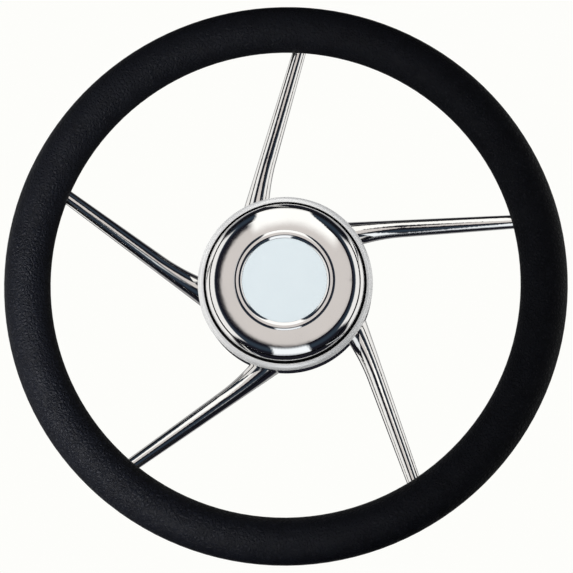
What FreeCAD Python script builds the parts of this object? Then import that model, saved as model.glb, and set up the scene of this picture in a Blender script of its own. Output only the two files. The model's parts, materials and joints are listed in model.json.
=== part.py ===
import FreeCAD, Part
import Sketcher
import os

# A 350 mm boat steering wheel: a foam grip moulded round a steel ring, five tapered stainless spokes
# that leave the hub off centre, a turned hub body, a bolted boss with a tapered bore, and a domed
# cap that pushes into the hub's mouth.
#
# The part's frame: the origin is the centre of the boss's rear face, +Y runs back along the helm
# shaft, -Y faces the driver and +Z is up. Every body is drawn in a wheel frame of its own, with x to
# the driver's right, y up and z towards the driver, and its Placement turns it into the part's frame.
# Lengths are millimetres and angles are degrees.

SIZES = {
    # Rim
    "rim_outer_diameter": 350,
    "grip_diameter": 28.8,
    "core_bar_diameter": 12,
    "rim_plane_height": 66,
    "foam_gap": 0.1,
    # Spokes
    "spoke_count": 5,
    "first_spoke_angle": 0.56,
    "spoke_offset": 35.4,
    "spoke_root_diameter": 12.2,
    "spoke_tip_diameter": 8.1,
    "spoke_root_lift": 10,
    "spoke_tip_drop": 3.9,
    "flare_growth": 4.3,
    "flare_length": 32,
    # Hub body
    "hub_diameter": 110.6,
    "hub_rear_height": 23,
    "hub_length": 31.3,
    "hub_wall": 3,
    "floor_thickness": 3,
    "rear_corner_radius": 5,
    "inner_corner_radius": 2.5,
    "lip_width": 4.1,
    "lip_round_radius": 3.6,
    "lip_inner_radius": 0.4,
    "cap_seat_depth": 7.3,
    "seat_width": 3.2,
    "seat_thickness": 2,
    # Boss and its screws
    "taper_large_diameter": 19.05,
    "taper_ratio": 12,
    "taper_length": 38,
    "keyway_width": 4.76,
    "keyway_depth": 2.4,
    "boss_diameter": 44,
    "boss_rear_length": 8,
    "boss_cone_length": 6,
    "flange_diameter": 76,
    "barrel_diameter": 34,
    "spigot_diameter": 42,
    "spigot_gap": 0.1,
    "boss_chamfer": 1,
    "screw_count": 6,
    "screw_circle_diameter": 60,
    "screw_diameter": 5,
    "screw_length": 9,
    "screw_hole_gap": 0.25,
    "thread_gap": 0.05,
    "thread_run_out": 0.5,
    "screw_head_diameter": 9.5,
    "screw_head_height": 2.75,
    "screw_head_round": 1.4,
    "hex_key_size": 3,
    "hex_key_depth": 1.6,
    # Cap
    "cap_gap": 1.2,
    "cap_rise": 17.7,
    "shoulder_radius": 9,
    "dome_radius": 350,
    "cover_thickness": 0.8,
    "cover_skirt_depth": 2,
    "cover_fit_gap": 0.05,
    "badge_diameter": 53.2,
    "badge_thickness": 1.6,
    "badge_gap": 0.1,
    "badge_sink": 2.3,
    "bezel_diameter": 63.2,
    "bezel_height": 2.4,
    "bezel_inner_drop": 0.45,
    "bezel_crown": 0.66,
    "carrier_plate": 2.2,
    "carrier_wall": 4,
    "carrier_inner_round": 2,
    "rib_count": 6,
    "rib_thickness": 1.6,
    "rib_height": 6,
    "rib_inner_diameter": 28,
    "rib_root": 0.4,
    "seal_bar_diameter": 2.4,
    "seal_gap": 0.1,
    "seal_groove_gap": 0.2,
}

doc = FreeCAD.newDocument("steering_wheel")
sheet = doc.addObject("Spreadsheet::Sheet", "sizes")
for row, (alias, number) in enumerate(SIZES.items(), start=1):
    sheet.set("A%d" % row, alias)
    sheet.set("B%d" % row, str(number))
    sheet.setAlias("B%d" % row, alias)
doc.recompute()


class Size:
    """A length or angle as an expression of the sheet's cells, so that it can be bound and worked with."""

    def __init__(self, text):
        self.text = text

    def __add__(self, other):
        return Size("(%s + %s)" % (self.text, words(other)))

    def __sub__(self, other):
        return Size("(%s - %s)" % (self.text, words(other)))

    def __mul__(self, other):
        return Size("(%s * %s)" % (self.text, words(other)))

    def __truediv__(self, other):
        return Size("(%s / %s)" % (self.text, words(other)))

    @property
    def number(self):
        return float(sheet.evalExpression(self.text))


def words(amount):
    return amount.text if isinstance(amount, Size) else repr(amount)


def root(amount):
    return Size("sqrt(%s)" % amount.text)


def cosine(angle):
    return Size("cos(%s)" % angle.text)


def sine(angle):
    return Size("sin(%s)" % angle.text)


def lesser(first, second):
    return Size("min(%s; %s)" % (first.text, second.text))


def bounded(share):
    """A share kept between nothing and the whole."""
    return Size("min(1; max(0; %s))" % share.text)


class Named:
    """Gives each cell of the sheet by its name."""

    def __getattr__(self, alias):
        if alias not in SIZES:
            raise AttributeError(alias)
        return Size("sizes.%s" % alias)


size = Named()
ZERO = Size("0")

# Places worked out from the sizes. Heights are along the wheel frame's z, from the boss's rear face.
rim_radius = (size.rim_outer_diameter - size.grip_diameter) / 2
hub_radius = size.hub_diameter / 2
hub_inner_radius = hub_radius - size.hub_wall
hub_front = size.hub_rear_height + size.hub_length
floor_front = size.hub_rear_height + size.floor_thickness
mouth_radius = hub_radius - size.lip_width
cap_seat = hub_front - size.cap_seat_depth
cap_radius = mouth_radius - size.cap_gap
face_height = cap_seat + size.cap_rise
bezel_radius = size.bezel_diameter / 2
cover_hole_radius = bezel_radius + size.badge_gap
dome_centre = face_height - root(size.dome_radius * size.dome_radius - cover_hole_radius * cover_hole_radius)
spigot_radius = size.spigot_diameter / 2
screw_circle_radius = size.screw_circle_diameter / 2

spoke_root_run = root(hub_radius * hub_radius - size.spoke_offset * size.spoke_offset)
spoke_tip_run = root(rim_radius * rim_radius - size.spoke_offset * size.spoke_offset)
spoke_root_height = size.hub_rear_height + size.spoke_root_lift
spoke_tip_height = size.rim_plane_height - size.spoke_tip_drop


def point(across, up):
    return FreeCAD.Vector(across.number, up.number, 0)


def wheel_placement(body, turn=ZERO, across=ZERO, up=ZERO, forward=ZERO):
    """Turns a body from the wheel frame into the part's frame, spun by turn about the shaft's axis."""
    body.setExpression(
        "Placement",
        "create(<<placement>>; create(<<vector>>; %s; -(%s); %s); "
        "create(<<rotation>>; create(<<vector>>; 1; 0; 0); 90) * "
        "create(<<rotation>>; create(<<vector>>; 0; 0; 1); %s))"
        % (across.text, forward.text, up.text, turn.text),
    )


def new_body(name):
    body = doc.addObject("PartDesign::Body", name)
    body.Label = name
    wheel_placement(body)
    return body


def origin_feature(body, role):
    return [f for f in body.Origin.OriginFeatures if f.Role == role][0]


def new_sketch(body, name, role, lift=ZERO):
    """A sketch on one of the body's own planes, moved by lift along the plane's normal."""
    sketch = body.newObject("Sketcher::SketchObject", body.Name + "_" + name)
    sketch.AttachmentSupport = [(origin_feature(body, role), "")]
    sketch.MapMode = "FlatFace"
    sketch.setExpression("AttachmentOffset.Base.z", lift.text)
    return sketch


def hold(sketch, edge, spot, across, up=None):
    """Holds one point of an edge at its sizes, or on an axis where a size is nothing."""
    for kind, amount, axis in (("DistanceX", across, -2), ("DistanceY", up, -1)):
        if amount is None:
            continue
        if amount is ZERO:
            sketch.addConstraint(Sketcher.Constraint("PointOnObject", edge, spot, axis))
        else:
            index = sketch.addConstraint(Sketcher.Constraint(kind, -1, 1, edge, spot, amount.number))
            sketch.setExpression("Constraints[%d]" % index, amount.text)


def short_arc(start, end, centre):
    """The arc about a centre between two points, the short way round, and which end of it is which.

    A sketch counts an arc's ends counter-clockwise, so that is how it is drawn.
    """
    forward = (start - centre).cross(end - centre).z > 0
    ends = (start, end) if forward else (end, start)
    middle = (start - centre + end - centre).normalize() * (start - centre).Length
    return Part.Arc(ends[0], centre + middle, ends[1]), (1, 2) if forward else (2, 1)


def draw_outline(sketch, corners, arcs=()):
    """A closed run of edges through the corners, each given as (across, up).

    The edges are straight, apart from those in arcs, which holds the number of each arc's edge and the
    arc's centre.
    """
    centres = dict(arcs)
    first = sketch.GeometryCount
    spots = []
    for index, start in enumerate(corners):
        begin, end = point(*start), point(*corners[(index + 1) % len(corners)])
        if index in centres:
            edge, ends = short_arc(begin, end, point(*centres[index]))
        else:
            edge, ends = Part.LineSegment(begin, end), (1, 2)
        sketch.addGeometry(edge, False)
        spots.append(ends)
    for index, (across, up) in enumerate(corners):
        after = (index + 1) % len(corners)
        joined = (first + index, spots[index][1], first + after, spots[after][0])
        sketch.addConstraint(Sketcher.Constraint("Coincident", *joined))
        hold(sketch, first + index, spots[index][0], across, up)
    for index, (across, up) in centres.items():
        hold(sketch, first + index, 3, across)


def draw_circle(sketch, across, up, radius):
    index = sketch.addGeometry(Part.Circle(point(across, up), FreeCAD.Vector(0, 0, 1), radius.number), False)
    hold(sketch, index, 3, across, up)
    limit = sketch.addConstraint(Sketcher.Constraint("Radius", index, radius.number))
    sketch.setExpression("Constraints[%d]" % limit, radius.text)


def revolve(body, name, sketch, kind="PartDesign::Revolution"):
    """Turns a sketch on the XZ plane once round the shaft's axis."""
    feature = body.newObject(kind, body.Name + "_" + name)
    feature.Profile = sketch
    feature.ReferenceAxis = (sketch, ["V_Axis"])
    feature.Angle = 360
    doc.recompute()
    return feature


def turned(body, name, corners, arcs=()):
    sketch = new_sketch(body, name + "_profile", "XZ_Plane")
    draw_outline(sketch, corners, arcs)
    return revolve(body, name, sketch)


def dress_edges(body, name, kind, amount, places):
    """Rounds or chamfers the round edges that lie at the given (radius, height) places."""
    base = body.Tip
    edges = []
    for radius, height in places:
        for number, edge in enumerate(base.Shape.Edges, start=1):
            if not isinstance(edge.Curve, Part.Circle):
                continue
            if abs(edge.Curve.Radius - radius.number) > 0.01 or abs(edge.Curve.Center.z - height.number) > 0.01:
                continue
            edges.append("Edge%d" % number)
    if len(edges) < len(places):
        raise ValueError("%s: an edge to dress is missing" % name)
    feature = body.newObject(kind, body.Name + "_" + name)
    feature.Base = (base, edges)
    feature.setExpression("Size" if kind.endswith("Chamfer") else "Radius", amount.text)
    doc.recompute()
    return feature


def repeat_round(body, name, feature, count):
    """Repeats a feature evenly about the shaft's axis."""
    pattern = body.newObject("PartDesign::PolarPattern", body.Name + "_" + name)
    pattern.Originals = [feature]
    pattern.Axis = (origin_feature(body, "Z_Axis"), [""])
    pattern.Angle = 360
    pattern.setExpression("Occurrences", count.text)
    body.Tip = pattern
    doc.recompute()
    return pattern


def cut_pocket(body, name, sketch, depth=None, forward=False):
    """Cuts a sketch into the body, through all of it unless a depth is given."""
    before = body.Shape.Volume
    pocket = body.newObject("PartDesign::Pocket", body.Name + "_" + name)
    pocket.Profile = sketch
    pocket.Reversed = forward
    if depth is None:
        pocket.Type = "ThroughAll"
    else:
        pocket.setExpression("Length", depth.text)
    doc.recompute()
    if body.Shape.Volume >= before:
        raise ValueError("%s cuts nothing" % pocket.Name)
    return pocket


# Rim


def make_rim_core():
    """The rolled steel ring that the spokes are welded to, hidden in the foam."""
    body = new_body("rim_core")
    sketch = new_sketch(body, "section", "XZ_Plane")
    draw_circle(sketch, rim_radius, size.rim_plane_height, size.core_bar_diameter / 2)
    revolve(body, "ring", sketch)


def make_rim_grip():
    """The foam grip, moulded round the ring, with a mouth where each spoke goes in."""
    body = new_body("rim_grip")
    wheel_placement(body, turn=size.first_spoke_angle)
    sketch = new_sketch(body, "section", "XZ_Plane")
    draw_circle(sketch, rim_radius, size.rim_plane_height, size.grip_diameter / 2)
    draw_circle(sketch, rim_radius, size.rim_plane_height, size.core_bar_diameter / 2 + size.foam_gap)
    revolve(body, "ring", sketch)
    mouth_runs = (spoke_tip_run - size.grip_diameter, spoke_tip_run + size.foam_gap)
    mouths = [spoke_section(body, "mouth_%d" % n, run, size.foam_gap) for n, run in enumerate(mouth_runs)]
    cut = body.newObject("PartDesign::SubtractiveLoft", "rim_grip_mouth")
    cut.Profile = mouths[0]
    cut.Sections = mouths[1:]
    before = body.Shape.Volume
    doc.recompute()
    if body.Shape.Volume >= before:
        raise ValueError("a spoke's mouth cuts nothing")
    repeat_round(body, "mouths", cut, size.spoke_count)


# Spokes


def spoke_section(body, name, run, extra=ZERO):
    """The round section of a spoke, run along its line from the point abreast of the shaft.

    The bar tapers evenly from the hub to the ring. Close to the hub it swells on the side that faces
    the shaft, while its outer side stays straight.
    """
    share = (run - spoke_root_run) / (spoke_tip_run - spoke_root_run)
    taper = (size.spoke_tip_diameter - size.spoke_root_diameter) / 2
    radius = size.spoke_root_diameter / 2 + taper * share
    height = spoke_root_height + (spoke_tip_height - spoke_root_height) * share
    left = bounded((spoke_root_run + size.flare_length - run) / size.flare_length)
    swelling = size.flare_growth / 2 * left * left
    sketch = new_sketch(body, name, "YZ_Plane", lift=run)
    draw_circle(sketch, size.spoke_offset - swelling, height, radius + swelling + extra)
    return sketch


def make_spoke(number):
    """A tapered stainless spoke, cut to sit on the hub's wall and against the rim's ring."""
    body = new_body("spoke_%d" % number)
    turn = size.first_spoke_angle + Size("360") / size.spoke_count * (number - 1)
    wheel_placement(body, turn=turn)
    outer_side = size.spoke_offset + size.spoke_root_diameter / 2
    inside = root(hub_inner_radius * hub_inner_radius - outer_side * outer_side)
    flare_steps = 8
    step_run = (spoke_root_run + size.flare_length - inside) / flare_steps
    runs = [inside + step_run * step for step in range(flare_steps + 2)] + [spoke_tip_run]
    sections = [spoke_section(body, "section_%d" % n, run) for n, run in enumerate(runs)]
    for name, part in (("root", sections[:-1]), ("shank", sections[-2:])):
        bar = body.newObject("PartDesign::AdditiveLoft", "%s_%s" % (body.Name, name))
        bar.Profile = part[0]
        bar.Sections = part[1:]
        doc.recompute()
    corner = (hub_radius - size.rear_corner_radius, size.hub_rear_height + size.rear_corner_radius)
    half_turn = size.rear_corner_radius * cosine(Size("45"))
    hub = new_sketch(body, "hub_seat", "XZ_Plane")
    draw_outline(
        hub,
        [
            (ZERO, ZERO),
            (corner[0] + half_turn, ZERO),
            (corner[0] + half_turn, corner[1] - half_turn),
            (hub_radius, corner[1]),
            (hub_radius, hub_front),
            (ZERO, hub_front),
        ],
        arcs=[(2, corner)],
    )
    revolve(body, "hub_cut", hub, "PartDesign::Groove")
    ring = new_sketch(body, "ring_seat", "XZ_Plane")
    draw_circle(ring, rim_radius, size.rim_plane_height, size.core_bar_diameter / 2)
    revolve(body, "ring_cut", ring, "PartDesign::Groove")


# Hub


def make_hub_body():
    """The turned stainless body: a cup open to the front, with a rounded lip and a seat for the cap."""
    body = new_body("hub_body")
    seat_radius = mouth_radius - size.seat_width
    seat_rear = cap_seat - size.seat_thickness
    turned(
        body,
        "cup",
        [
            (spigot_radius, size.hub_rear_height),
            (hub_radius, size.hub_rear_height),
            (hub_radius, hub_front),
            (mouth_radius, hub_front),
            (mouth_radius, cap_seat),
            (seat_radius, cap_seat),
            (seat_radius, seat_rear),
            (hub_inner_radius, seat_rear - (hub_inner_radius - seat_radius)),
            (hub_inner_radius, floor_front),
            (spigot_radius, floor_front),
        ],
    )
    holes = new_sketch(body, "screw_holes", "XY_Plane")
    draw_circle(holes, screw_circle_radius, ZERO, size.screw_diameter / 2 + size.screw_hole_gap)
    hole = cut_pocket(body, "screw_hole", holes, forward=True)
    repeat_round(body, "screw_hole_ring", hole, size.screw_count)
    dress_edges(body, "rear_corner", "PartDesign::Fillet", size.rear_corner_radius, [(hub_radius, size.hub_rear_height)])
    dress_edges(body, "lip_round", "PartDesign::Fillet", size.lip_round_radius, [(hub_radius, hub_front)])
    dress_edges(body, "lip_inside", "PartDesign::Fillet", size.lip_inner_radius, [(mouth_radius, hub_front)])
    dress_edges(body, "inner_corner", "PartDesign::Fillet", size.inner_corner_radius, [(hub_inner_radius, floor_front)])


def make_hub_boss():
    """The turned boss: a 1 in 12 taper for the shaft, a keyway, and a flange bolted behind the body."""
    body = new_body("hub_boss")
    large = size.taper_large_diameter / 2
    small = large - size.taper_length / size.taper_ratio / 2
    flange_rear = size.boss_rear_length + size.boss_cone_length
    turned(
        body,
        "blank",
        [
            (large, ZERO),
            (size.boss_diameter / 2, ZERO),
            (size.boss_diameter / 2, size.boss_rear_length),
            (size.flange_diameter / 2, flange_rear),
            (size.flange_diameter / 2, size.hub_rear_height),
            (spigot_radius - size.spigot_gap, size.hub_rear_height),
            (spigot_radius - size.spigot_gap, floor_front),
            (size.barrel_diameter / 2, floor_front),
            (size.barrel_diameter / 2, size.taper_length),
            (small, size.taper_length),
        ],
    )
    slot = new_sketch(body, "keyway_shape", "XY_Plane")
    half = size.keyway_width / 2
    draw_outline(
        slot,
        [
            (ZERO - half, ZERO),
            (half, ZERO),
            (half, large + size.keyway_depth),
            (ZERO - half, large + size.keyway_depth),
        ],
    )
    cut_pocket(body, "keyway", slot, forward=True)
    holes = new_sketch(body, "thread_holes", "XY_Plane", lift=size.hub_rear_height)
    draw_circle(holes, screw_circle_radius, ZERO, size.screw_diameter / 2 + size.thread_gap)
    depth = size.screw_length - size.floor_thickness + size.thread_run_out
    hole = cut_pocket(body, "thread_hole", holes, depth=depth)
    repeat_round(body, "thread_hole_ring", hole, size.screw_count)
    dress_edges(
        body,
        "chamfers",
        "PartDesign::Chamfer",
        size.boss_chamfer,
        [(size.boss_diameter / 2, ZERO), (size.barrel_diameter / 2, size.taper_length)],
    )


def make_hub_screw(number):
    """A button-head screw that clamps the body's floor to the boss's flange."""
    body = new_body("hub_screw_%d" % number)
    turn = Size("360") / size.screw_count * (number - 1)
    wheel_placement(
        body,
        turn=turn,
        across=screw_circle_radius * cosine(turn),
        up=screw_circle_radius * sine(turn),
        forward=floor_front,
    )
    shank = new_sketch(body, "shank_shape", "XY_Plane")
    draw_circle(shank, ZERO, ZERO, size.screw_diameter / 2)
    head = new_sketch(body, "head_shape", "XY_Plane")
    draw_circle(head, ZERO, ZERO, size.screw_head_diameter / 2)
    for sketch, length, rearward in ((shank, size.screw_length, True), (head, size.screw_head_height, False)):
        pad = body.newObject("PartDesign::Pad", sketch.Name.replace("_shape", "_pad"))
        pad.Profile = sketch
        pad.Reversed = rearward
        pad.setExpression("Length", length.text)
        doc.recompute()
    dress_edges(
        body,
        "head_round",
        "PartDesign::Fillet",
        size.screw_head_round,
        [(size.screw_head_diameter / 2, size.screw_head_height)],
    )
    socket = new_sketch(body, "hex_shape", "XY_Plane", lift=size.screw_head_height)
    corner = size.hex_key_size / 2 / cosine(Size("30"))
    flats = [
        (corner * cosine(Size("%d" % angle)), corner * sine(Size("%d" % angle)))
        for angle in (30, 90, 150, 210, 270, 330)
    ]
    flats[1] = (ZERO, corner)
    flats[4] = (ZERO, ZERO - corner)
    draw_outline(socket, flats)
    cut_pocket(body, "hex_socket", socket, depth=size.hex_key_depth)


# Cap


def dome_point(radius, depth=ZERO):
    """The point of the cap's dome at a radius, or of a face that lies at a depth under it."""
    sphere = size.dome_radius - depth
    return (radius, dome_centre + root(sphere * sphere - radius * radius))


skirt_end = hub_front - size.cover_skirt_depth
seal_height = (cap_seat + skirt_end) / 2
shoulder_round = lesser(size.shoulder_radius, dome_point(cap_radius)[1] - skirt_end)


def make_cap_cover():
    """The polished stainless cover: a straight skirt, a rounded shoulder and a gently domed face."""
    body = new_body("cap_cover")
    inner_radius = cap_radius - size.cover_thickness
    outer_edge = dome_point(cap_radius)
    inner_edge = dome_point(inner_radius, size.cover_thickness)
    turned(
        body,
        "dome",
        [
            (cap_radius, skirt_end),
            outer_edge,
            dome_point(cover_hole_radius),
            dome_point(cover_hole_radius, size.cover_thickness),
            inner_edge,
            (inner_radius, skirt_end),
        ],
        arcs=[(1, (ZERO, dome_centre)), (3, (ZERO, dome_centre))],
    )
    dress_edges(body, "shoulder", "PartDesign::Fillet", shoulder_round, [outer_edge])
    inner_round = shoulder_round - size.cover_thickness
    dress_edges(body, "inner_shoulder", "PartDesign::Fillet", inner_round, [inner_edge])


def make_cap_carrier():
    """The moulded carrier under the cover: a ribbed plate, a skirt that sits on the hub's seat, a
    groove for the seal and a shallow well for the badge."""
    body = new_body("cap_carrier")
    fit_depth = size.cover_thickness + size.cover_fit_gap
    fit_radius = cap_radius - fit_depth
    fit_edge = dome_point(fit_radius, fit_depth)
    well_radius = cover_hole_radius
    well_floor = face_height - size.badge_sink
    groove_half = size.seal_bar_diameter / 2 + size.seal_groove_gap
    groove_radius = mouth_radius - size.seal_gap - size.seal_bar_diameter - size.cover_fit_gap
    inner_radius = cap_radius - size.carrier_wall
    plate_rear = well_floor - size.carrier_plate
    turned(
        body,
        "moulding",
        [
            (inner_radius, cap_seat),
            (cap_radius, cap_seat),
            (cap_radius, seal_height - groove_half),
            (groove_radius, seal_height - groove_half),
            (groove_radius, seal_height + groove_half),
            (cap_radius, seal_height + groove_half),
            (cap_radius, skirt_end),
            (fit_radius, skirt_end),
            fit_edge,
            dome_point(well_radius, fit_depth),
            (well_radius, well_floor),
            (ZERO, well_floor),
            (ZERO, plate_rear),
            (inner_radius, plate_rear),
        ],
        arcs=[(8, (ZERO, dome_centre))],
    )
    dress_edges(body, "shoulder", "PartDesign::Fillet", shoulder_round - fit_depth, [fit_edge])
    dress_edges(body, "inside", "PartDesign::Fillet", size.carrier_inner_round, [(inner_radius, plate_rear)])
    rib = new_sketch(body, "rib_shape", "XY_Plane", lift=plate_rear - size.rib_height)
    half = size.rib_thickness / 2
    near = size.rib_inner_diameter / 2
    far = inner_radius + size.rib_root
    draw_outline(rib, [(near, ZERO - half), (far, ZERO - half), (far, half), (near, half)])
    pad = body.newObject("PartDesign::Pad", "cap_carrier_rib")
    pad.Profile = rib
    pad.setExpression("Length", (size.rib_height + size.rib_root).text)
    doc.recompute()
    repeat_round(body, "ribs", pad, size.rib_count)


def make_cap_seal():
    """The rubber ring whose grip on the hub's mouth holds the cap in."""
    body = new_body("cap_seal")
    bar_radius = size.seal_bar_diameter / 2
    sketch = new_sketch(body, "section", "XZ_Plane")
    draw_circle(sketch, mouth_radius - size.seal_gap - bar_radius, seal_height, bar_radius)
    revolve(body, "ring", sketch)


def make_badge_bezel():
    """The bright ring round the badge: a broad crown that leans in towards the disc, seated on the
    carrier's well."""
    body = new_body("badge_bezel")
    inner_radius = size.badge_diameter / 2 + size.badge_gap
    rear = face_height - size.badge_sink
    outer_top = rear + size.bezel_height
    inner_top = outer_top - size.bezel_inner_drop
    width = bezel_radius - inner_radius
    chord = root(width * width + size.bezel_inner_drop * size.bezel_inner_drop)
    reach = chord * chord / size.bezel_crown / 8 - size.bezel_crown / 2
    centre = (
        (inner_radius + bezel_radius) / 2 + reach * size.bezel_inner_drop / chord,
        (inner_top + outer_top) / 2 - reach * width / chord,
    )
    turned(
        body,
        "ring",
        [(inner_radius, rear), (bezel_radius, rear), (bezel_radius, outer_top), (inner_radius, inner_top)],
        arcs=[(2, centre)],
    )


def make_badge_disc():
    """The plain satin disc at the centre of the cap."""
    body = new_body("badge_disc")
    sketch = new_sketch(body, "shape", "XY_Plane", lift=face_height - size.badge_sink)
    draw_circle(sketch, ZERO, ZERO, size.badge_diameter / 2)
    pad = body.newObject("PartDesign::Pad", "badge_disc_plate")
    pad.Profile = sketch
    pad.setExpression("Length", size.badge_thickness.text)
    doc.recompute()


make_rim_core()
make_rim_grip()
for number in range(1, int(size.spoke_count.number) + 1):
    make_spoke(number)
make_hub_body()
make_hub_boss()
for number in range(1, int(size.screw_count.number) + 1):
    make_hub_screw(number)
make_cap_cover()
make_cap_carrier()
make_cap_seal()
make_badge_bezel()
make_badge_disc()
doc.recompute()

# Every object is sound before anything is written
for item in doc.Objects:
    if "Invalid" in item.State or "Error" in item.State:
        raise ValueError("%s did not build: %s" % (item.Name, item.State))
bodies = [item for item in doc.Objects if item.TypeId == "PartDesign::Body"]
for body in bodies:
    if body.Shape.isNull() or not body.Shape.isValid() or len(body.Shape.Solids) != 1:
        raise ValueError("%s is not one sound solid" % body.Label)

os.makedirs("parts", exist_ok=True)
for body in bodies:
    body.Shape.exportStep("parts/%s.step" % body.Label)
    print("%s %.0f mm3" % (body.Label, body.Shape.Volume))
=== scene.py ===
import json
import math

import bmesh
import bpy
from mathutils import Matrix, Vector

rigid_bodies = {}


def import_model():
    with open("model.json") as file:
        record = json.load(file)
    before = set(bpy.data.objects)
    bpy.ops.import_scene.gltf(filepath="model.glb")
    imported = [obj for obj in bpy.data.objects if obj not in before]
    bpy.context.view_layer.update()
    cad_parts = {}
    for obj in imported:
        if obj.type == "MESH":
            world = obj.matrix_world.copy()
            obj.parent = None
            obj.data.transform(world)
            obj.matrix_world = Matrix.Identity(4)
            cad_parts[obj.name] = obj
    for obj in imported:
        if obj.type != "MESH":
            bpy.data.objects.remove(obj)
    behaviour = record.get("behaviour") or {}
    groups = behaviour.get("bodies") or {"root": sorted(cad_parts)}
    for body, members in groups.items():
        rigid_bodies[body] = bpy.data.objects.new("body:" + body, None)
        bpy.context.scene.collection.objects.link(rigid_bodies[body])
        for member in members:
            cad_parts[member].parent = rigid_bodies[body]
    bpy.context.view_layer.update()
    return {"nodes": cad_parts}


# A stainless boat steering wheel with a moulded foam grip. The frame holds every solid, and this
# script adds no pieces: it gives each solid its surface, and sets up the camera, the lamps and the
# light tent that polished metal is photographed in. Lengths are metres and angles are degrees.

for leftover in list(bpy.data.objects):
    bpy.data.objects.remove(leftover)

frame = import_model()
nodes = frame["nodes"]

WHITE = (0.984, 0.984, 0.958)  # the photograph's background


def box_of(name):
    """The low and high corner of a piece's own mesh, in the part's frame."""
    points = [vert.co for vert in nodes[name].data.vertices]
    return [Vector([pick(point[axis] for point in points) for axis in range(3)]) for pick in (min, max)]


# Node helpers


class Tree:
    """A node tree that is written as plain expressions."""

    def __init__(self, tree):
        self.tree = tree
        tree.nodes.clear()

    def node(self, kind, **settings):
        made = self.tree.nodes.new(kind)
        for name, value in settings.items():
            setattr(made, name, value)
        return made

    def feed(self, socket, value):
        if isinstance(value, bpy.types.NodeSocket):
            self.tree.links.new(value, socket)
        elif socket.type == "RGBA":
            socket.default_value = (*value, 1.0)
        else:
            socket.default_value = value

    def fill(self, made, *values, **named):
        """Feed a node's inputs, in their order or by name with _ for each space."""
        for socket, value in zip(made.inputs, values):
            self.feed(socket, value)
        for name, value in named.items():
            self.feed(made.inputs[name.replace("_", " ")], value)
        return made

    def math(self, operation, *values):
        return self.fill(self.node("ShaderNodeMath", operation=operation), *values).outputs[0]

    def add(self, first, second):
        return self.math("ADD", first, second)

    def subtract(self, first, second):
        return self.math("SUBTRACT", first, second)

    def multiply(self, first, second):
        return self.math("MULTIPLY", first, second)

    def blend(self, share, first, second):
        """A number between two."""
        return self.add(first, self.multiply(share, self.subtract(second, first)))

    def vector(self, operation, *values, output=0):
        made = self.fill(self.node("ShaderNodeVectorMath", operation=operation), *values)
        return made.outputs[output]

    def split(self, value):
        return self.fill(self.node("ShaderNodeSeparateXYZ"), value).outputs

    def join(self, x, y, z):
        return self.fill(self.node("ShaderNodeCombineXYZ"), x, y, z).outputs[0]

    def step(self, value, start, end):
        """0 at start and before it, 1 at end and past it, and a smooth change between them."""
        made = self.node("ShaderNodeMapRange", interpolation_type="SMOOTHSTEP")
        return self.fill(made, Value=value, From_Min=start, From_Max=end).outputs[0]

    def ramp(self, value, start, end, low=0.0, high=1.0):
        """A straight change from low at start to high at end, held outside."""
        made = self.node("ShaderNodeMapRange", clamp=True)
        self.fill(made, Value=value, From_Min=start, From_Max=end, To_Min=low, To_Max=high)
        return made.outputs[0]

    def band(self, value, start, end, soft):
        """1 between start and end, falling to 0 over soft on either side."""
        return self.multiply(
            self.step(value, start - soft, start + soft), self.step(value, end + soft, end - soft)
        )

    def mix(self, share, first, second):
        """A colour between two."""
        made = self.node("ShaderNodeMix", data_type="RGBA")
        self.feed(made.inputs["Factor"], share)
        self.feed(made.inputs[6], first)
        self.feed(made.inputs[7], second)
        return made.outputs[2]

    def noise(self, where, scale, detail=2.0, roughness=0.5, output="Fac"):
        made = self.node("ShaderNodeTexNoise")
        self.fill(made, Vector=where, Scale=scale, Detail=detail, Roughness=roughness)
        return made.outputs[output]

    def creases(self, where, scale):
        """How far each point lies from the edge of its cell."""
        made = self.node("ShaderNodeTexVoronoi", feature="DISTANCE_TO_EDGE")
        return self.fill(made, Vector=where, Scale=scale).outputs["Distance"]

    def bump(self, height, depth, strength, **under):
        """A relief, on top of another one if that is given as Normal."""
        made = self.node("ShaderNodeBump")
        return self.fill(made, Height=height, Distance=depth, Strength=strength, **under).outputs[0]

    def shader(self, kind, *values, **named):
        return self.fill(self.node("ShaderNode" + kind), *values, **named).outputs[0]

    def end(self, shader, kind="OutputMaterial"):
        self.fill(self.node("ShaderNode" + kind), Surface=shader)


def new_material(name):
    material = bpy.data.materials.new(name)
    material.use_nodes = True
    return material, Tree(material.node_tree)


def here(t):
    """The point on the object, in the part's frame."""
    return t.node("ShaderNodeTexCoord").outputs["Object"]


def from_axis(t, where):
    """Distance from the shaft's axis."""
    x, y, z = t.split(where)
    return t.vector("LENGTH", t.join(x, 0.0, z), output=1)


# Surfaces

# Cells or waves of each texture in a metre
LEATHER_GRAIN = 400.0
FINE_GRAIN = 1100.0
FOAM_PORES = 3200.0
FOAM_SWELL = 90.0
GRAIN_WANDER = 420.0
BUFFING_HAZE = 38.0
BUFFING_LINES = 900.0
ORANGE_PEEL = 150.0
TURNING_SCRATCHES = 2600.0

# How deep each relief is
GRAIN_DEPTH = 0.00034
SWELL_DEPTH = 0.0006
WANDER_REACH = 0.0016
PEEL_DEPTH = 0.00002
TURNED_DEPTH = 0.00003

# The lathe's feed, one ring to the next
HUB_FEED = 0.00042
BOSS_FEED = 0.00055

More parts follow.
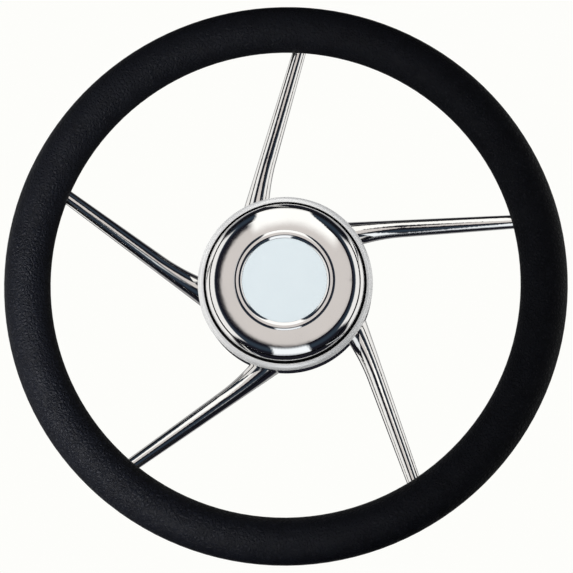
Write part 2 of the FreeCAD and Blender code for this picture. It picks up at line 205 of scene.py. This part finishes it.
# Where one finish of the hub or the cap, or the black painted shade in the gap round the cap, gives way to
# the next: the start and end of each soft edge, as a radius round the shaft's axis or a height along it
hub_low, hub_high = box_of("hub_body")
HUB_RADIUS, HUB_FRONT, HUB_REAR = hub_high.x, hub_low.y, hub_high.y
COVER_FRONT = box_of("cap_cover")[0].y
TURNED_RADIUS = (HUB_RADIUS - 0.0021, HUB_RADIUS - 0.0025)  # the inside of the hub's wall
TURNED_HEIGHT = (HUB_REAR - 0.0005, HUB_REAR - 0.0015)
# Painted shade: black on the wall of the hub's front opening and on the cap's skirt, down in the gap round
# the cap.
GAP_SHADE_RADIUS = (HUB_RADIUS - 0.00370, HUB_RADIUS - 0.00395)  # the wall of the hub's mouth
GAP_SHADE_HEIGHT = (HUB_FRONT + 0.0081, HUB_FRONT + 0.0077)  # in front of the cap's seat
LIP_HEIGHT = (HUB_FRONT + 0.0043, HUB_FRONT + 0.0034)
SKIRT_SHADE_HEIGHT = (COVER_FRONT + 0.0075, COVER_FRONT + 0.0083)  # down in the gap round the cap


def foam_material():
    """Black moulded foam with a leather grain: creased cells, fine pores and a faint sheen."""
    material, t = new_material("grip_foam_grained")
    where = here(t)
    wander = t.vector("SUBTRACT", t.noise(where, GRAIN_WANDER, output="Color"), (0.5, 0.5, 0.5))
    moved = t.vector("ADD", where, t.vector("MULTIPLY", wander, (WANDER_REACH,) * 3))
    pebble = t.step(t.creases(moved, LEATHER_GRAIN), 0.0, 0.34)
    small = t.step(t.creases(moved, FINE_GRAIN), 0.0, 0.3)
    pores = t.noise(where, FOAM_PORES, detail=3.0, roughness=0.6)
    swell = t.noise(where, FOAM_SWELL, detail=3.0, roughness=0.55)
    grain = t.add(t.add(pebble, t.multiply(small, 0.35)), t.multiply(pores, 0.25))
    normal = t.bump(swell, SWELL_DEPTH, 0.35, Normal=t.bump(grain, GRAIN_DEPTH, 0.85))
    colour = t.mix(pebble, (0.0006, 0.0007, 0.0014), (0.0015, 0.0018, 0.0031))
    colour = t.mix(t.ramp(swell, 0.35, 0.7, 0.0, 0.45), colour, (0.0022, 0.0026, 0.0040))
    roughness = t.ramp(t.add(pebble, t.multiply(swell, 0.6)), 0.2, 1.5, 0.58, 0.40)
    t.end(t.shader("BsdfPrincipled", Base_Color=colour, Roughness=roughness, Normal=normal,
                   Specular_IOR_Level=0.05))
    return material


def buffing_haze(t, where):
    """The slow cloudy changes that buffing by hand leaves."""
    return t.noise(where, BUFFING_HAZE, detail=4.0, roughness=0.6)


def orange_peel(t, where, strength):
    """The very slight waviness of a polished surface."""
    return t.bump(t.noise(where, ORANGE_PEEL), PEEL_DEPTH, strength)


def darker(colour, share):
    return tuple(c * share for c in colour)


def polished_material(name, colour, smooth, dull):
    """Mirror-polished stainless, with its roughness between smooth and dull."""
    material, t = new_material(name)
    where = here(t)
    haze = buffing_haze(t, where)
    fine = t.noise(where, BUFFING_LINES)
    roughness = t.ramp(t.add(haze, t.multiply(fine, 0.25)), 0.4, 0.85, smooth, dull)
    tint = t.mix(t.ramp(haze, 0.35, 0.7), colour, darker(colour, 0.965))
    t.end(t.shader("BsdfPrincipled", Base_Color=tint, Metallic=1.0, Roughness=roughness,
                   Normal=orange_peel(t, where, 0.4)))
    return material


def turned_lines(t, where, feed):
    """Fine uneven turning marks, rings about the shaft's axis."""
    along = t.add(from_axis(t, where), t.split(where)[1])
    rings = t.math("SINE", t.multiply(along, 2 * math.pi / feed))
    scratches = t.join(t.multiply(along, TURNING_SCRATCHES), 0.0, 0.0)
    uneven = t.noise(scratches, scale=1.0, detail=3.0, roughness=0.7)
    return t.add(t.multiply(rings, 0.35), uneven)


def hub_material():
    """A polished flank, a satin lip, black painted shade on the inner wall at the front opening, and
    turning marks inside.
    """
    material, t = new_material("hub_stainless_polished_and_turned")
    where = here(t)
    height = t.split(where)[1]
    radius = from_axis(t, where)
    inner = t.multiply(t.step(radius, *TURNED_RADIUS), t.step(height, *TURNED_HEIGHT))
    mouth_shade = t.multiply(t.step(radius, *GAP_SHADE_RADIUS), t.step(height, *GAP_SHADE_HEIGHT))
    lip = t.step(height, *LIP_HEIGHT)
    lines = turned_lines(t, where, HUB_FEED)
    polish = t.ramp(buffing_haze(t, where), 0.4, 0.8, 0.09, 0.14)
    roughness = t.blend(inner, polish, t.ramp(lines, 0.1, 1.0, 0.24, 0.36))
    roughness = t.blend(lip, roughness, 0.36)
    colour = t.mix(inner, (0.87, 0.86, 0.855), (0.62, 0.62, 0.61))
    colour = t.mix(lip, colour, (0.97, 0.965, 0.96))
    # Painted shade: the wall of the hub's front opening, in the gap round the cap, is painted black and is
    # not metal there.
    colour = t.mix(mouth_shade, colour, (0.010, 0.010, 0.011))
    metal = t.multiply(t.subtract(1.0, t.multiply(lip, 0.65)), t.subtract(1.0, mouth_shade))
    normal = t.bump(t.multiply(lines, inner), TURNED_DEPTH, 0.8)
    t.end(t.shader("BsdfPrincipled", Base_Color=colour, Metallic=metal, Roughness=roughness, Normal=normal))
    return material


def cover_material():
    """Mirror-polished, with black painted shade on the skirt that stands in the gap round the cap."""
    material, t = new_material("cap_stainless_polished")
    where = here(t)
    # Painted shade: the skirt, down in the gap round the cap, is painted black and matt, and is not metal
    # there.
    skirt_shade = t.step(t.split(where)[1], *SKIRT_SHADE_HEIGHT)
    haze = buffing_haze(t, where)
    roughness = t.add(t.ramp(haze, 0.4, 0.8, 0.032, 0.045), t.multiply(skirt_shade, 0.35))
    colour = t.mix(t.ramp(haze, 0.35, 0.7), (0.87, 0.86, 0.85), (0.84, 0.83, 0.82))
    colour = t.mix(skirt_shade, colour, (0.012, 0.012, 0.013))
    t.end(t.shader("BsdfPrincipled", Base_Color=colour, Metallic=t.subtract(1.0, skirt_shade),
                   Roughness=roughness, Normal=orange_peel(t, where, 0.3)))
    return material


def boss_material():
    """Turned aluminium alloy."""
    material, t = new_material("boss_alloy_turned")
    where = here(t)
    colour = (0.60, 0.61, 0.62)
    lines = turned_lines(t, where, BOSS_FEED)
    haze = t.noise(where, scale=60.0, detail=3.0, roughness=0.6)
    roughness = t.ramp(t.add(lines, haze), 0.3, 1.6, 0.24, 0.40)
    tint = t.mix(t.ramp(haze, 0.35, 0.7), colour, darker(colour, 0.88))
    t.end(t.shader("BsdfPrincipled", Base_Color=tint, Metallic=1.0, Roughness=roughness,
                   Normal=t.bump(lines, TURNED_DEPTH, 0.8)))
    return material


def grained(t, grain, depth, strength, roughness, **inputs):
    """A surface whose relief and roughness follow one fine grain."""
    t.end(t.shader("BsdfPrincipled", Roughness=t.ramp(grain, 0.3, 0.7, *roughness),
                   Normal=t.bump(grain, depth, strength), **inputs))


def screw_material():
    """Plain stainless, as screws come."""
    material, t = new_material("screw_steel_plain")
    grain = t.noise(here(t), scale=1400.0, detail=3.0, roughness=0.6)
    grained(t, grain, depth=0.00001, strength=0.5, roughness=(0.18, 0.32),
            Base_Color=(0.66, 0.65, 0.63), Metallic=1.0)
    return material


def ring_material():
    """Rolled steel bar with its scale."""
    material, t = new_material("ring_steel_rolled")
    grain = t.noise(here(t), scale=240.0, detail=4.0, roughness=0.6)
    colour = t.mix(grain, (0.22, 0.21, 0.20), (0.38, 0.37, 0.36))
    grained(t, grain, depth=0.00005, strength=0.5, roughness=(0.35, 0.6), Base_Color=colour, Metallic=1.0)
    return material


def carrier_material():
    """Black moulded plastic with a fine spark-eroded texture."""
    material, t = new_material("carrier_plastic_textured")
    where = here(t)
    grain = t.noise(where, scale=1800.0, detail=3.0, roughness=0.65)
    colour = t.mix(t.noise(where, scale=45.0), (0.012, 0.012, 0.013), (0.02, 0.02, 0.022))
    grained(t, grain, depth=0.00004, strength=0.7, roughness=(0.42, 0.6), Base_Color=colour)
    return material


def seal_material():
    """Matt black rubber."""
    material, t = new_material("seal_rubber_matt")
    grain = t.noise(here(t), scale=1500.0, detail=3.0, roughness=0.6)
    colour = t.mix(grain, (0.010, 0.010, 0.010), (0.018, 0.018, 0.018))
    grained(t, grain, depth=0.00003, strength=0.6, roughness=(0.62, 0.8), Base_Color=colour)
    return material


def disc_material():
    """The badge's plain face: pale lacquered metal with a fine even grain."""
    material, t = new_material("badge_satin_plain")
    where = here(t)
    grain = t.noise(where, scale=2600.0, detail=2.0, roughness=0.6)
    cloud = t.noise(where, scale=60.0, detail=3.0)
    colour = t.mix(cloud, (0.800, 0.885, 0.925), (0.835, 0.920, 0.950))
    grained(t, grain, depth=0.000012, strength=0.5, roughness=(0.34, 0.44), Base_Color=colour,
            Specular_IOR_Level=0.4, Coat_Weight=0.15, Coat_Roughness=0.2)
    return material


# Each piece's surface, by its name without the number of a repeated piece
SURFACES = {
    "rim_grip": foam_material(),
    "rim_core": ring_material(),
    "spoke": polished_material("spoke_stainless_polished", (0.86, 0.85, 0.835), 0.04, 0.07),
    "hub_body": hub_material(),
    "hub_boss": boss_material(),
    "hub_screw": screw_material(),
    "cap_cover": cover_material(),
    "cap_carrier": carrier_material(),
    "cap_seal": seal_material(),
    "badge_bezel": polished_material("bezel_polished", (0.87, 0.86, 0.855), 0.05, 0.07),
    "badge_disc": disc_material(),
}

for name, thing in nodes.items():
    thing.data.materials.clear()
    thing.data.materials.append(SURFACES[name.rstrip("_0123456789")])


# The light tent


def aim(azimuth, elevation):
    """A direction from the wheel: azimuth from straight ahead of the driver's side, towards +X."""
    a, e = math.radians(azimuth), math.radians(elevation)
    return Vector((math.sin(a) * math.cos(e), -math.cos(a) * math.cos(e), math.sin(e)))


TENT_CENTRE = Vector((0.0, -0.055, 0.0))
TENT_RADIUS = 0.80
TENT_DEPTH = 3.0  # how many times further away it lies below than round the sides

SIDE = (0.985, 0.98, 0.965)  # the white panels at the sides
OVERHEAD = (1.20, 1.20, 1.17)
LOW = (1.08, 1.13, 1.17)
REAR = (0.43, 0.43, 0.43)
BEIGE = (0.725, 0.685, 0.66)  # the room round the lens
NIGHT = (0.011, 0.011, 0.017)  # black cloth
TEAL = (0.030, 0.045, 0.065)  # the cloth in front, where some light falls on it
DUSK = (0.11, 0.12, 0.17)  # the cloth beneath, the same way

LENS_AIM = aim(-1.5, 8.1)

# Edges of the panels and cloth. An edge is the start and end of a soft change, and a span has its
# own softness after its ends.
LEFT_AZIMUTHS = (-130.0, -43.5, 4.0)
LEFT_ELEVATIONS = (-40.0, 40.0, 4.0)
RIGHT_AZIMUTHS = (47.5, 130.0, 4.0)
RIGHT_ELEVATIONS = (-28.0, 38.0, 4.0)
REAR_AZIMUTH = (118.0, 128.0)
REAR_ELEVATIONS = ((6.0, 50.0, 5.0), (-38.0, -19.0, 5.0))
OVERHEAD_FOOT = (14.0, 18.0)
OVERHEAD_TOP = (92.0, 64.0)
LOW_TOP = (-10.0, -33.0)
LOW_FOOT = (-88.0, -58.0)
ROOM_EDGE = (18.2, 17.5)
ROOM_RIM = (15.6, 17.4)  # where the overhead panel meets the room
TEAL_RING = (37.0, 64.0, 10.0)
DUSK_TOP = (-66.0, -76.0)

# The same as shares of a unit direction
FRONT_SIDE = (0.05, -0.15)
STRIP_REAR = (0.1, 0.0)
STRIP_EDGE = (-0.025, 0.025)
DUSK_WIDTH = (0.24, 0.16)

# How far a strip reaches to the left and to the right, half-way up or down, and how that grows from there
OVERHEAD_REACH = ((0.22, 0.33), (0.225, 0.11))
LOW_REACH = ((0.15, 0.10), (0.195, 0.40))


def tent_material():
    """White panels at the sides, overhead and low in front, a dimmer one behind, dark cloth between
    them, and the beige room round the lens. It is painted by where each point lies round the wheel."""
    material, t = new_material("light_tent_cloth")
    d = t.vector("NORMALIZE", here(t))
    x, y, z = t.split(d)
    azimuth = t.math("DEGREES", t.math("ARCTAN2", x, t.multiply(y, -1.0)))
    elevation = t.math("DEGREES", t.math("ARCSINE", z))
    off_lens = t.math("DEGREES", t.math("ARCCOSINE", t.vector("DOT_PRODUCT", d, LENS_AIM, output=1)))

    def panel(azimuths, elevations):
        return t.multiply(t.band(azimuth, *azimuths), t.band(elevation, *elevations))

    def strip(reaches, upright):
        """A panel in front that widens with its height, and its share at each height."""
        away = t.subtract(t.math("ABSOLUTE", z), 0.5)
        left, right = [t.add(t.multiply(away, growth), reach) for reach, growth in reaches]
        inside = t.math("MINIMUM", t.add(x, left), t.subtract(right, x))
        across = t.multiply(t.step(inside, *STRIP_EDGE), t.step(y, *STRIP_REAR))
        return t.multiply(across, upright)

    left_panel = panel(LEFT_AZIMUTHS, LEFT_ELEVATIONS)
    right_panel = panel(RIGHT_AZIMUTHS, RIGHT_ELEVATIONS)
    upper = t.multiply(t.step(elevation, *OVERHEAD_FOOT), t.step(elevation, *OVERHEAD_TOP))
    upper = t.multiply(upper, t.step(off_lens, *ROOM_RIM))
    lower = t.multiply(t.step(elevation, *LOW_TOP), t.step(elevation, *LOW_FOOT))
    heights = t.add(*(t.band(elevation, *span) for span in REAR_ELEVATIONS))
    rear = t.multiply(t.step(t.math("ABSOLUTE", azimuth), *REAR_AZIMUTH), heights)
    front = t.step(y, *FRONT_SIDE)
    beneath = t.multiply(t.step(elevation, *DUSK_TOP), t.step(t.math("ABSOLUTE", x), *DUSK_WIDTH))

    colour = NIGHT
    for share, over in (
        (t.multiply(t.band(off_lens, *TEAL_RING), front), TEAL),
        (t.multiply(beneath, front), DUSK),
        (t.step(off_lens, *ROOM_EDGE), BEIGE),
        (rear, REAR),
        (t.math("MAXIMUM", left_panel, right_panel), SIDE),
        (strip(OVERHEAD_REACH, upper), OVERHEAD),
        (strip(LOW_REACH, lower), LOW),
    ):
        colour = t.mix(share, colour, over)
    t.end(t.shader("Emission", Color=colour))
    return material


def link(name, data):
    thing = bpy.data.objects.new(name, data)
    bpy.context.scene.collection.objects.link(thing)
    return thing


def link_shape(name, shape, material):
    """A new object from a bmesh, which is freed."""
    mesh = bpy.data.meshes.new(name)
    shape.to_mesh(mesh)
    shape.free()
    mesh.materials.append(material)
    return link(name, mesh)


def make_tent():
    """A globe round the wheel, drawn out below, that only reflections see."""
    shape = bmesh.new()
    bmesh.ops.create_uvsphere(shape, u_segments=96, v_segments=48, radius=TENT_RADIUS)
    for vert in shape.verts:
        if vert.co.z < 0.0:
            vert.co.z *= TENT_DEPTH
    tent = link_shape("light_tent", shape, tent_material())
    tent.location = TENT_CENTRE
    tent.visible_camera = False
    tent.visible_diffuse = False
    tent.visible_transmission = False
    tent.visible_volume_scatter = False
    tent.visible_shadow = False
    return tent


# Floor and world

FLOOR_HEIGHT = -0.45
FLOOR_RADIUS = 3.0
FLOOR_GLOW = 0.655  # brings the lit floor up to the backdrop's white
ROOM_LIGHT = 0.62


def seen(t):
    """1 for what the camera sees directly, in a reflection or through glass."""
    rays = t.node("ShaderNodeLightPath").outputs
    indirect = t.math("MAXIMUM", rays["Is Glossy Ray"], rays["Is Transmission Ray"])
    return t.math("MAXIMUM", rays["Is Camera Ray"], indirect)


def make_floor():
    """A pale floor. To the camera it is white apart from the wheel's shadow."""
    material, t = new_material("floor_pale")
    paper = t.mix(t.noise(here(t), scale=30.0, detail=3.0), (0.52, 0.52, 0.51), (0.54, 0.54, 0.53))
    shadowed = t.shader("BsdfDiffuse", paper)
    glow = t.shader("Emission", WHITE, FLOOR_GLOW)
    plain = t.shader("BsdfDiffuse", (0.80, 0.80, 0.79))
    t.end(t.shader("MixShader", seen(t), plain, t.shader("AddShader", shadowed, glow)))
    shape = bmesh.new()
    bmesh.ops.create_circle(shape, cap_ends=True, segments=96, radius=FLOOR_RADIUS)
    floor = link_shape("floor", shape, material)
    floor.location = (0.0, 0.0, FLOOR_HEIGHT)
    floor.visible_glossy = False
    return floor


def make_world():
    """A white backdrop, and a soft light from all sides."""
    world = bpy.data.worlds.new("studio")
    bpy.context.scene.world = world
    world.use_nodes = True
    t = Tree(world.node_tree)
    room = t.shader("Background", (0.97, 0.985, 1.0), ROOM_LIGHT)
    backdrop = t.shader("Background", WHITE)
    t.end(t.shader("MixShader", seen(t), room, backdrop), "OutputWorld")


def make_lamp(name, place, target, width, power, spread=180.0, only=None):
    """A soft lamp. It lights matt surfaces, or only the given object and then with its highlight too:
    polished metal sees the tent instead."""
    lamp = bpy.data.lights.new(name, "AREA")
    lamp.shape = "DISK"
    lamp.size = width
    lamp.energy = power
    lamp.spread = math.radians(spread)
    thing = link(name, lamp)
    thing.location = place
    thing.rotation_euler = (Vector(target) - Vector(place)).to_track_quat("-Z", "Y").to_euler()
    if only is None:
        thing.visible_glossy = False
    else:
        lit = bpy.data.collections.new(name + "_lights")
        lit.objects.link(only)
        thing.light_linking.receiver_collection = lit


make_tent()
make_floor()
make_world()
make_lamp("key", (-0.85, -1.15, 0.55), (0.0, -0.05, 0.0), width=0.6, power=9.0)
make_lamp("grip_left", (-0.36, -0.80, -0.40), (-0.17, -0.066, -0.05), width=0.15, power=2.2,
          spread=41.0, only=nodes["rim_grip"])


# Camera: the photograph's distance, angle and framing

RIM_CENTRE = Vector((0.0, sum(corner.y for corner in box_of("rim_core")) / 2, 0.0))
CAMERA_DISTANCE = 0.950
TOWARD_CAMERA = aim(2.0, -8.4)

camera = link("camera", bpy.data.cameras.new("camera"))
camera.data.sensor_width = 36.0
camera.data.lens = 96.04
camera.data.shift_x = 0.0039
camera.data.shift_y = -0.0122
camera.data.clip_start = 0.01
camera.data.clip_end = 100.0
camera.location = RIM_CENTRE + TOWARD_CAMERA * CAMERA_DISTANCE
camera.rotation_euler = (-TOWARD_CAMERA).to_track_quat("-Z", "Y").to_euler()
bpy.context.scene.camera = camera
bpy.context.scene.view_settings.view_transform = "Standard"
